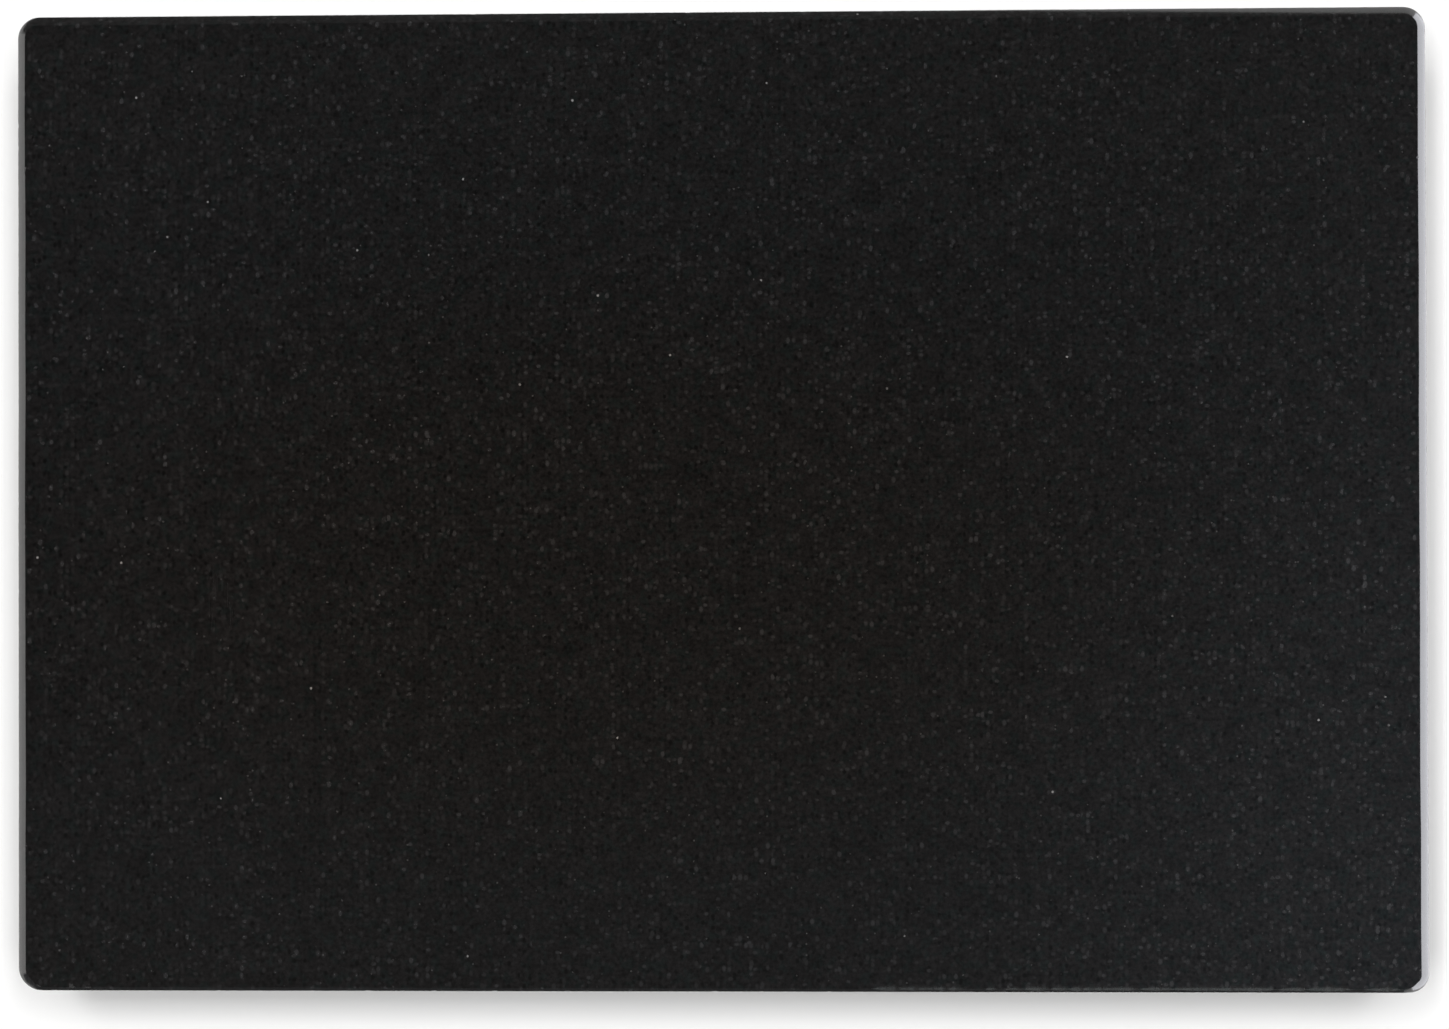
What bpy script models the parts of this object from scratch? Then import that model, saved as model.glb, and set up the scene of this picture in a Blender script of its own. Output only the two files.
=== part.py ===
"""Granite tooling slab: a polished block of black granite on four stick-on rubber feet.

Lengths are in metres, +Z is up, and the four feet stand on z = 0. The slab's long side
runs along X and its front is at -Y. Every piece is one closed solid.
"""

import math

import bmesh
import bpy

# Driving dimensions ---------------------------------------------------------

SLAB_LENGTH = 0.360
SLAB_WIDTH = 0.250
SLAB_THICKNESS = 0.030
SLAB_CORNER_RADIUS = 0.0055
SLAB_TOP_BEVEL = 0.0025
SLAB_BOTTOM_BEVEL = 0.001

FOOT_STONE_DIAMETER = 0.020
FOOT_BENCH_DIAMETER = 0.018
FOOT_HEIGHT = 0.005
FOOT_EDGE_RADIUS = 0.0006
FOOT_DISH_DIAMETER = 0.012
FOOT_DISH_DEPTH = 0.0004
FOOT_SETBACK = 0.015  # from the slab's sides to the edge of a foot

ADHESIVE_THICKNESS = 0.0008
ADHESIVE_MARGIN = 0.0015  # from the edge of a foot to the edge of its adhesive disc

CONTACT_GAP = 0.0003  # between two pieces that touch
MERGE_DISTANCE = 0.00001

CORNER_STEPS = 12
FOOT_EDGE_STEPS = 4
TURNED_STEPS = 64
SHARP_ANGLE = math.radians(30)  # edges between faces steeper than this stay crisp
FLAT_ANGLE = math.radians(1)  # faces within this of each other are one face

# Places worked out from them -------------------------------------------------

ADHESIVE_BOTTOM = FOOT_HEIGHT + CONTACT_GAP
SLAB_BOTTOM = ADHESIVE_BOTTOM + ADHESIVE_THICKNESS + CONTACT_GAP
SLAB_MIDDLE = SLAB_BOTTOM + SLAB_THICKNESS / 2
FOOT_X = SLAB_LENGTH / 2 - FOOT_SETBACK - FOOT_STONE_DIAMETER / 2
FOOT_Y = SLAB_WIDTH / 2 - FOOT_SETBACK - FOOT_STONE_DIAMETER / 2
FOOT_PLACES = {
    "front_left": (-FOOT_X, -FOOT_Y),
    "front_right": (FOOT_X, -FOOT_Y),
    "rear_left": (-FOOT_X, FOOT_Y),
    "rear_right": (FOOT_X, FOOT_Y),
}


def clear_scene():
    """Take away whatever the file opened with."""
    for obj in list(bpy.data.objects):
        bpy.data.objects.remove(obj, do_unlink=True)


def make_material(name, color, roughness, metallic=0.0):
    """A Principled material with one colour."""
    material = bpy.data.materials.new(name)
    material.use_nodes = True
    shader = material.node_tree.nodes["Principled BSDF"]
    shader.inputs["Base Color"].default_value = (*color, 1.0)
    shader.inputs["Roughness"].default_value = roughness
    shader.inputs["Metallic"].default_value = metallic
    material.diffuse_color = (*color, 1.0)
    return material


def arc(center, radius, start, end, steps):
    """Points along an arc, both ends included, from angle start to angle end."""
    turn = (end - start) / steps
    angles = [start + turn * step for step in range(steps + 1)]
    return [
        (center[0] + radius * math.cos(angle), center[1] + radius * math.sin(angle))
        for angle in angles
    ]


def rounded_rectangle(length, width, radius, steps):
    """The outline of a rectangle with round corners, counter-clockwise."""
    reach_x = length / 2 - radius
    reach_y = width / 2 - radius
    corners = [(reach_x, reach_y), (-reach_x, reach_y), (-reach_x, -reach_y), (reach_x, -reach_y)]
    points = []
    for index, corner in enumerate(corners):
        start = index * math.pi / 2
        points += arc(corner, radius, start, start + math.pi / 2, steps)
    return points


def plain_mesh(obj, name):
    """The mesh that an object has once its curve or modifiers are worked out."""
    depsgraph = bpy.context.evaluated_depsgraph_get()
    mesh = bpy.data.meshes.new_from_object(obj.evaluated_get(depsgraph))
    mesh.name = name
    return mesh


def extruded_plate(name, outline, thickness, collection):
    """A flat plate, centred on z = 0, from a closed outline, with each cap as one face."""
    curve = bpy.data.curves.new(name + "_outline", "CURVE")
    curve.dimensions = "2D"
    curve.fill_mode = "BOTH"
    curve.extrude = thickness / 2
    spline = curve.splines.new("POLY")
    spline.points.add(len(outline) - 1)
    for point, (x, y) in zip(spline.points, outline):
        point.co = (x, y, 0, 1)
    spline.use_cyclic_u = True
    guide = bpy.data.objects.new(name + "_guide", curve)
    collection.objects.link(guide)

    mesh = plain_mesh(guide, name)
    plate = bpy.data.objects.new(name, mesh)
    plate.matrix_world = guide.matrix_world
    collection.objects.link(plate)
    bpy.data.objects.remove(guide, do_unlink=True)

    solid = bmesh.new()
    solid.from_mesh(mesh)
    bmesh.ops.remove_doubles(solid, verts=solid.verts, dist=MERGE_DISTANCE)
    bmesh.ops.dissolve_limit(
        solid, angle_limit=FLAT_ANGLE, verts=solid.verts, edges=solid.edges
    )
    bmesh.ops.recalc_face_normals(solid, faces=solid.faces)
    solid.to_mesh(mesh)
    solid.free()
    mesh.shade_smooth()
    mesh.set_sharp_from_angle(angle=SHARP_ANGLE)
    return plate


def turned_mesh(name, profile, collection):
    """A solid of revolution about Z. The profile runs down its outer side, top to bottom."""
    section = bpy.data.meshes.new(name + "_section")
    points = [(radius, 0, height) for radius, height in profile]
    edges = [(index, index + 1) for index in range(len(points) - 1)]
    section.from_pydata(points, edges, [])
    guide = bpy.data.objects.new(name + "_guide", section)
    collection.objects.link(guide)
    screw = guide.modifiers.new("turn", "SCREW")
    screw.axis = "Z"
    screw.steps = TURNED_STEPS
    screw.render_steps = TURNED_STEPS
    screw.use_merge_vertices = True
    screw.merge_threshold = MERGE_DISTANCE

    mesh = plain_mesh(guide, name)
    bpy.data.objects.remove(guide, do_unlink=True)
    mesh.shade_smooth()
    mesh.set_sharp_from_angle(angle=SHARP_ANGLE)
    return mesh


def bevel_rim(solid, rim_name, rim_height, width):
    """Cut a flat 45-degree bevel along the edges that lie at one height."""
    rim = solid.vertex_groups.new(name=rim_name)
    on_rim = [v.index for v in solid.data.vertices if abs(v.co.z - rim_height) < MERGE_DISTANCE]
    rim.add(on_rim, 1.0, "REPLACE")
    bevel = solid.modifiers.new(rim_name, "BEVEL")
    bevel.limit_method = "VGROUP"
    bevel.vertex_group = rim_name
    bevel.offset_type = "OFFSET"
    bevel.width = width
    bevel.segments = 1


def make_granite_slab(collection, material, frame):
    """The stone: a sawn block with round corners and a bevel round each face."""
    outline = rounded_rectangle(SLAB_LENGTH, SLAB_WIDTH, SLAB_CORNER_RADIUS, CORNER_STEPS)
    slab = extruded_plate("granite_slab", outline, SLAB_THICKNESS, collection)
    bevel_rim(slab, "top_bevel", SLAB_THICKNESS / 2, SLAB_TOP_BEVEL)
    bevel_rim(slab, "bottom_bevel", -SLAB_THICKNESS / 2, SLAB_BOTTOM_BEVEL)
    slab.data.materials.append(material)
    slab.parent = frame
    slab.location = (0, 0, SLAB_MIDDLE)


def foot_profile():
    """Half the section of a rubber foot: wide at the stone, tapered to a dished bench face."""
    top_radius = FOOT_STONE_DIAMETER / 2
    bench_radius = FOOT_BENCH_DIAMETER / 2
    dish_radius = FOOT_DISH_DIAMETER / 2
    edge = FOOT_EDGE_RADIUS
    profile = [(0, FOOT_HEIGHT)]
    profile += arc((top_radius - edge, FOOT_HEIGHT - edge), edge, math.pi / 2, 0, FOOT_EDGE_STEPS)
    profile += arc((bench_radius - edge, edge), edge, 0, -math.pi / 2, FOOT_EDGE_STEPS)
    profile += [(dish_radius, 0), (dish_radius - FOOT_DISH_DEPTH, FOOT_DISH_DEPTH)]
    profile += [(0, FOOT_DISH_DEPTH)]
    return profile


def adhesive_profile():
    """Half the section of a disc of double-sided foam tape."""
    radius = FOOT_STONE_DIAMETER / 2 - ADHESIVE_MARGIN
    return [(0, ADHESIVE_THICKNESS), (radius, ADHESIVE_THICKNESS), (radius, 0), (0, 0)]


def place_under_corners(prefix, mesh, height, collection, frame):
    """One copy of a piece under each corner of the slab, with its lower face at a height."""
    for corner, (x, y) in FOOT_PLACES.items():
        piece = bpy.data.objects.new(prefix + corner, mesh)
        collection.objects.link(piece)
        piece.parent = frame
        piece.location = (x, y, height)


def make_feet(collection, material, frame):
    """The four moulded rubber feet."""
    mesh = turned_mesh("foot", foot_profile(), collection)
    mesh.materials.append(material)
    place_under_corners("foot_", mesh, 0, collection, frame)


def make_adhesive_discs(collection, material, frame):
    """The four adhesive discs, each between a foot and the stone."""
    mesh = turned_mesh("adhesive", adhesive_profile(), collection)
    mesh.materials.append(material)
    place_under_corners("adhesive_", mesh, ADHESIVE_BOTTOM, collection, frame)


def main():
    clear_scene()
    parts = bpy.data.collections.new("granite_tooling_slab")
    bpy.context.scene.collection.children.link(parts)
    frame = bpy.data.objects.new("bench_plane", None)
    parts.objects.link(frame)

    granite = make_material("granite", (0.011, 0.011, 0.011), 0.2)
    rubber = make_material("rubber", (0.020, 0.020, 0.021), 0.75)
    adhesive = make_material("adhesive", (0.30, 0.30, 0.29), 0.75)

    make_granite_slab(parts, granite, frame)
    make_feet(parts, rubber, frame)
    make_adhesive_discs(parts, adhesive, frame)
    bpy.context.view_layer.update()


main()
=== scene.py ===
# %% [markdown]
# # A granite tooling slab
#
# Leather is stamped and carved on something hard, flat and heavy. This one is a block of black
# granite: polished on top, ground along its edges, still rough from the saw underneath, and
# standing on four stick-on rubber feet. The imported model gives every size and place. This
# script only builds the fine surface around it: the stone, its feet, the tape that holds them,
# the minerals in the stone, and a small studio.

# %% Load the frame
import math

import bmesh
import bpy
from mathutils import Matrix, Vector


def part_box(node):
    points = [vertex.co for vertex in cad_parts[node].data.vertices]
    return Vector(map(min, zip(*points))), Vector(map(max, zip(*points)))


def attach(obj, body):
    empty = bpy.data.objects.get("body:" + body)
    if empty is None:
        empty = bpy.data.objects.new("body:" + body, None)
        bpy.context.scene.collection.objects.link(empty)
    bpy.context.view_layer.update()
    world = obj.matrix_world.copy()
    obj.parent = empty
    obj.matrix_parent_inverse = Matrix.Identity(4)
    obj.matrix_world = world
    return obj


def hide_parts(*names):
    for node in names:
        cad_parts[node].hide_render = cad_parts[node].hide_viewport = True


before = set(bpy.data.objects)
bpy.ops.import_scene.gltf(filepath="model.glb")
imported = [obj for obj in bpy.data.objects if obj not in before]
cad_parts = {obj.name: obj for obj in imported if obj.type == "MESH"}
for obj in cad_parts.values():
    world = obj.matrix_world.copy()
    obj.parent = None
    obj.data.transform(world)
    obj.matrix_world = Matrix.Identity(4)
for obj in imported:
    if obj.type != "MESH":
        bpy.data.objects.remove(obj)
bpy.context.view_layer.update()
scene = bpy.context.scene

stone_low, stone_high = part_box("granite_slab")
stone_size = stone_high - stone_low
print("stone, mm:", [round(1000 * side, 1) for side in stone_size])

# %% [markdown]
# ## The camera
#
# The stone is seen from straight above, as flat goods are usually shown: a longish lens on a
# copy stand, a little right of the middle and turned back to the left by a degree or two, to
# hold the stone in the frame. From above, the block's own top edges hide its sides.

# %% Camera
CAMERA_OFFSET = (0.0218, -0.0088)
CAMERA_DISTANCE = 0.7169
CAMERA_TURNS = (0.416, 1.602, -0.149)
camera_data = bpy.data.cameras.new("copy_stand_camera")
camera_data.sensor_width = 36.0
camera_data.lens = 70.0
camera_data.clip_start = 0.01
camera_data.clip_end = 50.0
camera = bpy.data.objects.new("copy_stand_camera", camera_data)
camera.location = (*CAMERA_OFFSET, stone_high.z + CAMERA_DISTANCE)
camera.rotation_euler = [math.radians(turn) for turn in CAMERA_TURNS]
scene.collection.objects.link(camera)
scene.camera = camera
scene.view_settings.view_transform = "Standard"
scene.view_settings.look = "None"
print("camera height over the stone, mm:", round(1000 * (camera.location.z - stone_high.z)))

# %% [markdown]
# ## A helper for node trees
#
# Both Geometry Nodes and materials are trees of nodes. Written out in full, each node takes
# four or five lines. `put` makes one node, sets its options and fills its inputs. A value that
# is itself a socket becomes a link. `maths` does the same for the smallest node of all.


# %% Node helpers
def put(tree, kind, inputs=None, **options):
    """Add a node. An input given as a socket is linked, and any other value is set."""
    node = tree.nodes.new(kind)
    for name, value in options.items():
        setattr(node, name, value)
    for key, value in (inputs or {}).items():
        socket = node.inputs[key]
        if isinstance(value, bpy.types.NodeSocket):
            tree.links.new(value, socket)
        else:
            socket.default_value = value
    return node


def maths(tree, operation, first, second=0.0, third=0.0, clamp=False):
    """One Math node. Gives its output socket."""
    inputs = {0: first, 1: second, 2: third}
    return put(tree, "ShaderNodeMath", inputs, operation=operation, use_clamp=clamp).outputs[0]


def vector_maths(tree, operation, first, second=(0.0, 0.0, 0.0)):
    """One Vector Math node that gives a vector."""
    inputs = {0: first, 1: second}
    return put(tree, "ShaderNodeVectorMath", inputs, operation=operation).outputs[0]


def scaled(tree, vector, factor):
    """A vector times a number."""
    inputs = {0: vector, "Scale": factor}
    return put(tree, "ShaderNodeVectorMath", inputs, operation="SCALE").outputs[0]


def length(tree, vector):
    """How long a vector is."""
    return put(tree, "ShaderNodeVectorMath", {0: vector}, operation="LENGTH").outputs[1]


def ramp(tree, value, low, high, to_low=0.0, to_high=1.0, smooth=True):
    """Map a value from one range to another, held at both ends."""
    kind = "SMOOTHSTEP" if smooth else "LINEAR"
    inputs = {0: value, 1: low, 2: high, 3: to_low, 4: to_high}
    return put(tree, "ShaderNodeMapRange", inputs, interpolation_type=kind).outputs[0]


def line_object(name, points):
    """A bare line through flat points, for a shape tree to sweep round a curve."""
    curve = bpy.data.curves.new(name, "CURVE")
    curve.dimensions = "3D"
    line = curve.splines.new("POLY")
    line.points.add(len(points) - 1)
    for point, (x, y) in zip(line.points, points):
        point.co = (x, y, 0, 1)
    carrier = bpy.data.objects.new(name, curve)
    scene.collection.objects.link(carrier)
    return carrier


def new_shape_tree(name, inputs):
    """A Geometry Nodes tree with named inputs: {name: (socket type, value)}."""
    tree = bpy.data.node_groups.new(name, "GeometryNodeTree")
    tree.interface.new_socket("Geometry", in_out="OUTPUT", socket_type="NodeSocketGeometry")
    for label, (kind, value) in inputs.items():
        socket = tree.interface.new_socket(label, in_out="INPUT", socket_type=kind)
        if value is not None:
            socket.default_value = value
    return tree, tree.nodes.new("NodeGroupInput").outputs, tree.nodes.new("NodeGroupOutput").inputs


def grown_mesh(tree, name, values):
    """Run a shape tree on an empty object with these input values, and keep its plain mesh."""
    seed = bpy.data.objects.new(name + "_seed", bpy.data.meshes.new(name + "_seed"))
    scene.collection.objects.link(seed)
    modifier = seed.modifiers.new("shape", "NODES")
    modifier.node_group = tree
    for item in tree.interface.items_tree:
        if item.in_out == "INPUT" and item.name in values:
            modifier[item.identifier] = values[item.name]
    evaluated = seed.evaluated_get(bpy.context.evaluated_depsgraph_get())
    mesh = bpy.data.meshes.new_from_object(evaluated)
    mesh.name = name
    bpy.data.objects.remove(seed, do_unlink=True)
    return mesh


def show(mesh, name, stands_for):
    """Put a finished mesh in the scene in place of a node of the frame."""
    piece = bpy.data.objects.new(name, mesh)
    scene.collection.objects.link(piece)
    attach(piece, "root")
    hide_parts(stands_for)
    print(f"{name}: {len(mesh.polygons)} faces")


# %% [markdown]
# ## The section of the stone's edge
#
# A mason shapes a slab's edge with a grinder: a bevel on top that keeps the edge from
# chipping, a straight side, and a small bevel underneath. Every sharp corner between them, an
# arris, is rubbed down with a hand pad, which also leaves the bevel very slightly crowned. All
# of that is one line, drawn here from a little way in on the top, down the side, to as far in
# on the underside. It could be a curve drawn by hand, but as points with a formula for the
# rubbed arrises it follows the stone's size.

# %% Draw the section
TOP_BEVEL = 0.0025
UNDER_BEVEL = 0.001
ARRIS_RADIUS = 0.00035
UNDER_ARRIS_RADIUS = 0.0002
BEVEL_CROWN = 0.00012
FACE_MARGIN = 0.004


def rounded_corner(before, corner, after, radius, steps):
    """Points of an arc that rounds off one corner of a line."""
    back = (before - corner).normalized()
    ahead = (after - corner).normalized()
    half_turn = back.angle(ahead) / 2
    center = corner + (back + ahead).normalized() * (radius / math.sin(half_turn))
    start = corner + back * (radius / math.tan(half_turn)) - center
    end = corner + ahead * (radius / math.tan(half_turn)) - center
    return [center + start.normalized().slerp(end.normalized(), step / steps) * radius
            for step in range(steps + 1)]


def along(start, end, distances):
    """Points on a straight stretch, at these distances from its start."""
    direction = (end - start).normalized()
    return [start + direction * distance for distance in distances]


def crowned(points, start, end, rise):
    """Points on a stretch lifted into a shallow arch, as a hand pad leaves it."""
    span = end - start
    outwards = Vector((span.y, -span.x)).normalized()
    shares = [(point - start).dot(span) / span.length_squared for point in points]
    shares = [max(0.0, min(1.0, share)) for share in shares]
    return [p + outwards * rise * 4 * t * (1 - t) for p, t in zip(points, shares)]


def edge_section(height):
    """The section as (outwards from the outline, down from the top)."""
    corners = [
        Vector((-FACE_MARGIN, 0)),
        Vector((-TOP_BEVEL, 0)),
        Vector((0, TOP_BEVEL)),
        Vector((0, height - UNDER_BEVEL)),
        Vector((-UNDER_BEVEL, height)),
        Vector((-FACE_MARGIN, height)),
    ]
    radii = [ARRIS_RADIUS, ARRIS_RADIUS, UNDER_ARRIS_RADIUS, UNDER_ARRIS_RADIUS]
    steps = [3, 3, 2, 2]
    fine = [0.0006, 0.0012, 0.0024]
    stretches = [
        [0.0, 0.0006, 0.0010, 0.0013],
        [0.0006, 0.0011, 0.0016, 0.0021, 0.0026, 0.0030],
        fine + [0.006, 0.012, 0.019, 0.0235],
        [],
        [0.0008, 0.0018, 0.003],
    ]
    points = along(corners[0], corners[1], stretches[0])
    for index, radius in enumerate(radii):
        before, corner, after = corners[index : index + 3]
        points += rounded_corner(before, corner, after, radius, steps[index])
        points += along(corner, after, stretches[index + 1])
    return crowned(points, corners[1], corners[2], BEVEL_CROWN)


section = edge_section(stone_size.z)
section_object = line_object("stone_section", section)
print("points in the section:", len(section))

# %% [markdown]
# ## The stone, swept and chipped
#
# A tree of Geometry Nodes draws the outline as a rectangle with round corners and sweeps the
# section round it. Three things then tell stone from plastic:
#
# - The bevel breathes, because a hand held the grinder. Each point near the edge moves towards
#   or away from the sharp corner that the bevel cut off, so both flat faces stay true.
# - The front bevel is less than half as wide as the others: this edge was ground less. The
#   same move makes it, and it fades in as the outline leaves the front corners.
# - The arrises are nicked. Each nick is a bite out of an invisible ball: a point that falls
#   inside the ball is pushed onto its surface, which leaves the shallow scoop that brittle
#   stone breaks into. Small balls make a few sharp nicks all round. Big balls make long, very
#   shallow scoops where the work has worn the front edge, on the right.


# %% The stone's tree
FRONT_BEVEL = 0.38
ALL_ROUND = (0.0, 1.0)
WORN_STRETCH = (0.685, 0.795)
SHALLOWEST_BITE = 0.00006
SMALL_LEAN = 0.38
LARGE_LEAN = 0.92
DRIFT_FADE = (0.0029, 0.0039)


def bevel_share(tree, edge, inputs):
    """How wide the bevel is at a place on the outline: 1 is full width, and less in front.
    It keeps its full width into the front corners and narrows on the way out of them."""
    parts = put(tree, "ShaderNodeSeparateXYZ", {0: edge}).outputs
    radius = inputs["Corner Radius"]
    side = maths(tree, "MULTIPLY", inputs["Length"], 0.5)
    front = maths(tree, "MULTIPLY", inputs["Width"], -0.5)
    inner = maths(tree, "MULTIPLY_ADD", radius, -1.3, side)
    outer = maths(tree, "MULTIPLY_ADD", radius, -0.3, side)
    near_side = ramp(tree, maths(tree, "ABSOLUTE", parts["X"]), inner, outer)
    behind = maths(tree, "MULTIPLY_ADD", radius, 2.0, front)
    far_behind = maths(tree, "MULTIPLY_ADD", radius, 3.0, front)
    not_front = ramp(tree, parts["Y"], behind, far_behind)
    full = maths(tree, "MAXIMUM", near_side, not_front)
    return ramp(tree, full, 0.0, 1.0, inputs["Front Bevel"], 1.0, smooth=False)


def add_nicks(tree, stone, outline, inputs, kind, stretch, seed):
    """Bite balls out of the stone's arrises, at random places along a stretch of the outline.
    The kind is (count, how fresh the break is, share on the lower arris, smallest ball,
    largest ball, deepest bite)."""
    count, fresh, lower_share, smallest, largest, deepest = kind
    index = put(tree, "GeometryNodeInputIndex").outputs[0]

    def random(low, high, offset):
        values = {2: low, 3: high, "ID": index, "Seed": maths(tree, "ADD", seed, offset)}
        return put(tree, "FunctionNodeRandomValue", values, data_type="FLOAT").outputs[1]

    place = put(
        tree,
        "GeometryNodeSampleCurve",
        {"Curves": outline, "Factor": random(*stretch, 1)},
        use_all_curves=True,
    ).outputs
    outwards = vector_maths(tree, "CROSS_PRODUCT", place["Tangent"], (0, 0, 1))
    outwards = vector_maths(tree, "NORMALIZE", outwards)
    share = bevel_share(tree, place["Position"], inputs)
    bevel = maths(tree, "MULTIPLY", share, inputs["Bevel"])
    # An arris of the bevel: the upper one lies in from the outline, the lower one down from it.
    lower = maths(tree, "LESS_THAN", random(0, 1, 2), lower_share)
    upper = maths(tree, "SUBTRACT", 1, lower)
    inwards = maths(tree, "MULTIPLY", maths(tree, "MULTIPLY", upper, bevel), -1)
    down = maths(tree, "MULTIPLY", maths(tree, "MULTIPLY", lower, bevel), -1)
    drop = put(tree, "ShaderNodeCombineXYZ", {"Z": down}).outputs[0]
    arris = vector_maths(tree, "ADD", place["Position"], scaled(tree, outwards, inwards))
    arris = vector_maths(tree, "ADD", arris, drop)
    # The ball's middle stands off the arris, halfway between the two faces that meet there.
    turn = maths(tree, "MULTIPLY", upper, LARGE_LEAN - SMALL_LEAN)
    lift = maths(tree, "ADD", SMALL_LEAN, turn)
    spread = maths(tree, "SUBTRACT", LARGE_LEAN, turn)
    up = put(tree, "ShaderNodeCombineXYZ", {"Z": lift}).outputs[0]
    away = vector_maths(tree, "ADD", scaled(tree, outwards, spread), up)
    size = maths(tree, "POWER", random(0, 1, 3), 2.0)
    radius = ramp(tree, size, 0, 1, smallest, largest, smooth=False)
    bite = ramp(tree, random(0, 1, 4), 0, 1, SHALLOWEST_BITE, deepest, smooth=False)
    stand_off = maths(tree, "SUBTRACT", radius, bite)
    middle = vector_maths(tree, "ADD", arris, scaled(tree, away, stand_off))

    balls = put(tree, "GeometryNodePoints", {"Count": count, "Position": arris}).outputs[0]
    for label, kind, value in (("middle", "FLOAT_VECTOR", middle), ("ball", "FLOAT", radius)):
        values = {"Geometry": balls, "Name": label, "Value": value}
        store = put(tree, "GeometryNodeStoreNamedAttribute", values, data_type=kind)
        balls = store.outputs[0]

    here = put(tree, "GeometryNodeInputPosition").outputs[0]
    values = {"Geometry": balls, "Sample Position": here}
    nearest = put(tree, "GeometryNodeSampleNearest", values).outputs[0]

    def of_nearest(label, kind):
        named = put(tree, "GeometryNodeInputNamedAttribute", {"Name": label}, data_type=kind)
        values = {"Geometry": balls, "Value": named.outputs[0], "Index": nearest}
        return put(tree, "GeometryNodeSampleIndex", values, data_type=kind).outputs[0]

    ball_middle = of_nearest("middle", "FLOAT_VECTOR")
    ball_radius = of_nearest("ball", "FLOAT")
    from_middle = vector_maths(tree, "SUBTRACT", here, ball_middle)
    distance = length(tree, from_middle)
    inside = maths(tree, "LESS_THAN", distance, ball_radius)
    pushed = scaled(tree, vector_maths(tree, "NORMALIZE", from_middle), ball_radius)
    pushed = vector_maths(tree, "ADD", ball_middle, pushed)
    values = {"Geometry": stone, "Selection": inside, "Value": fresh}
    store = put(tree, "GeometryNodeStoreNamedAttribute", values, data_type="FLOAT")
    store.inputs["Name"].default_value = "nicked"
    values = {"Geometry": store.outputs[0], "Selection": inside, "Position": pushed}
    return put(tree, "GeometryNodeSetPosition", values).outputs[0]


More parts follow.
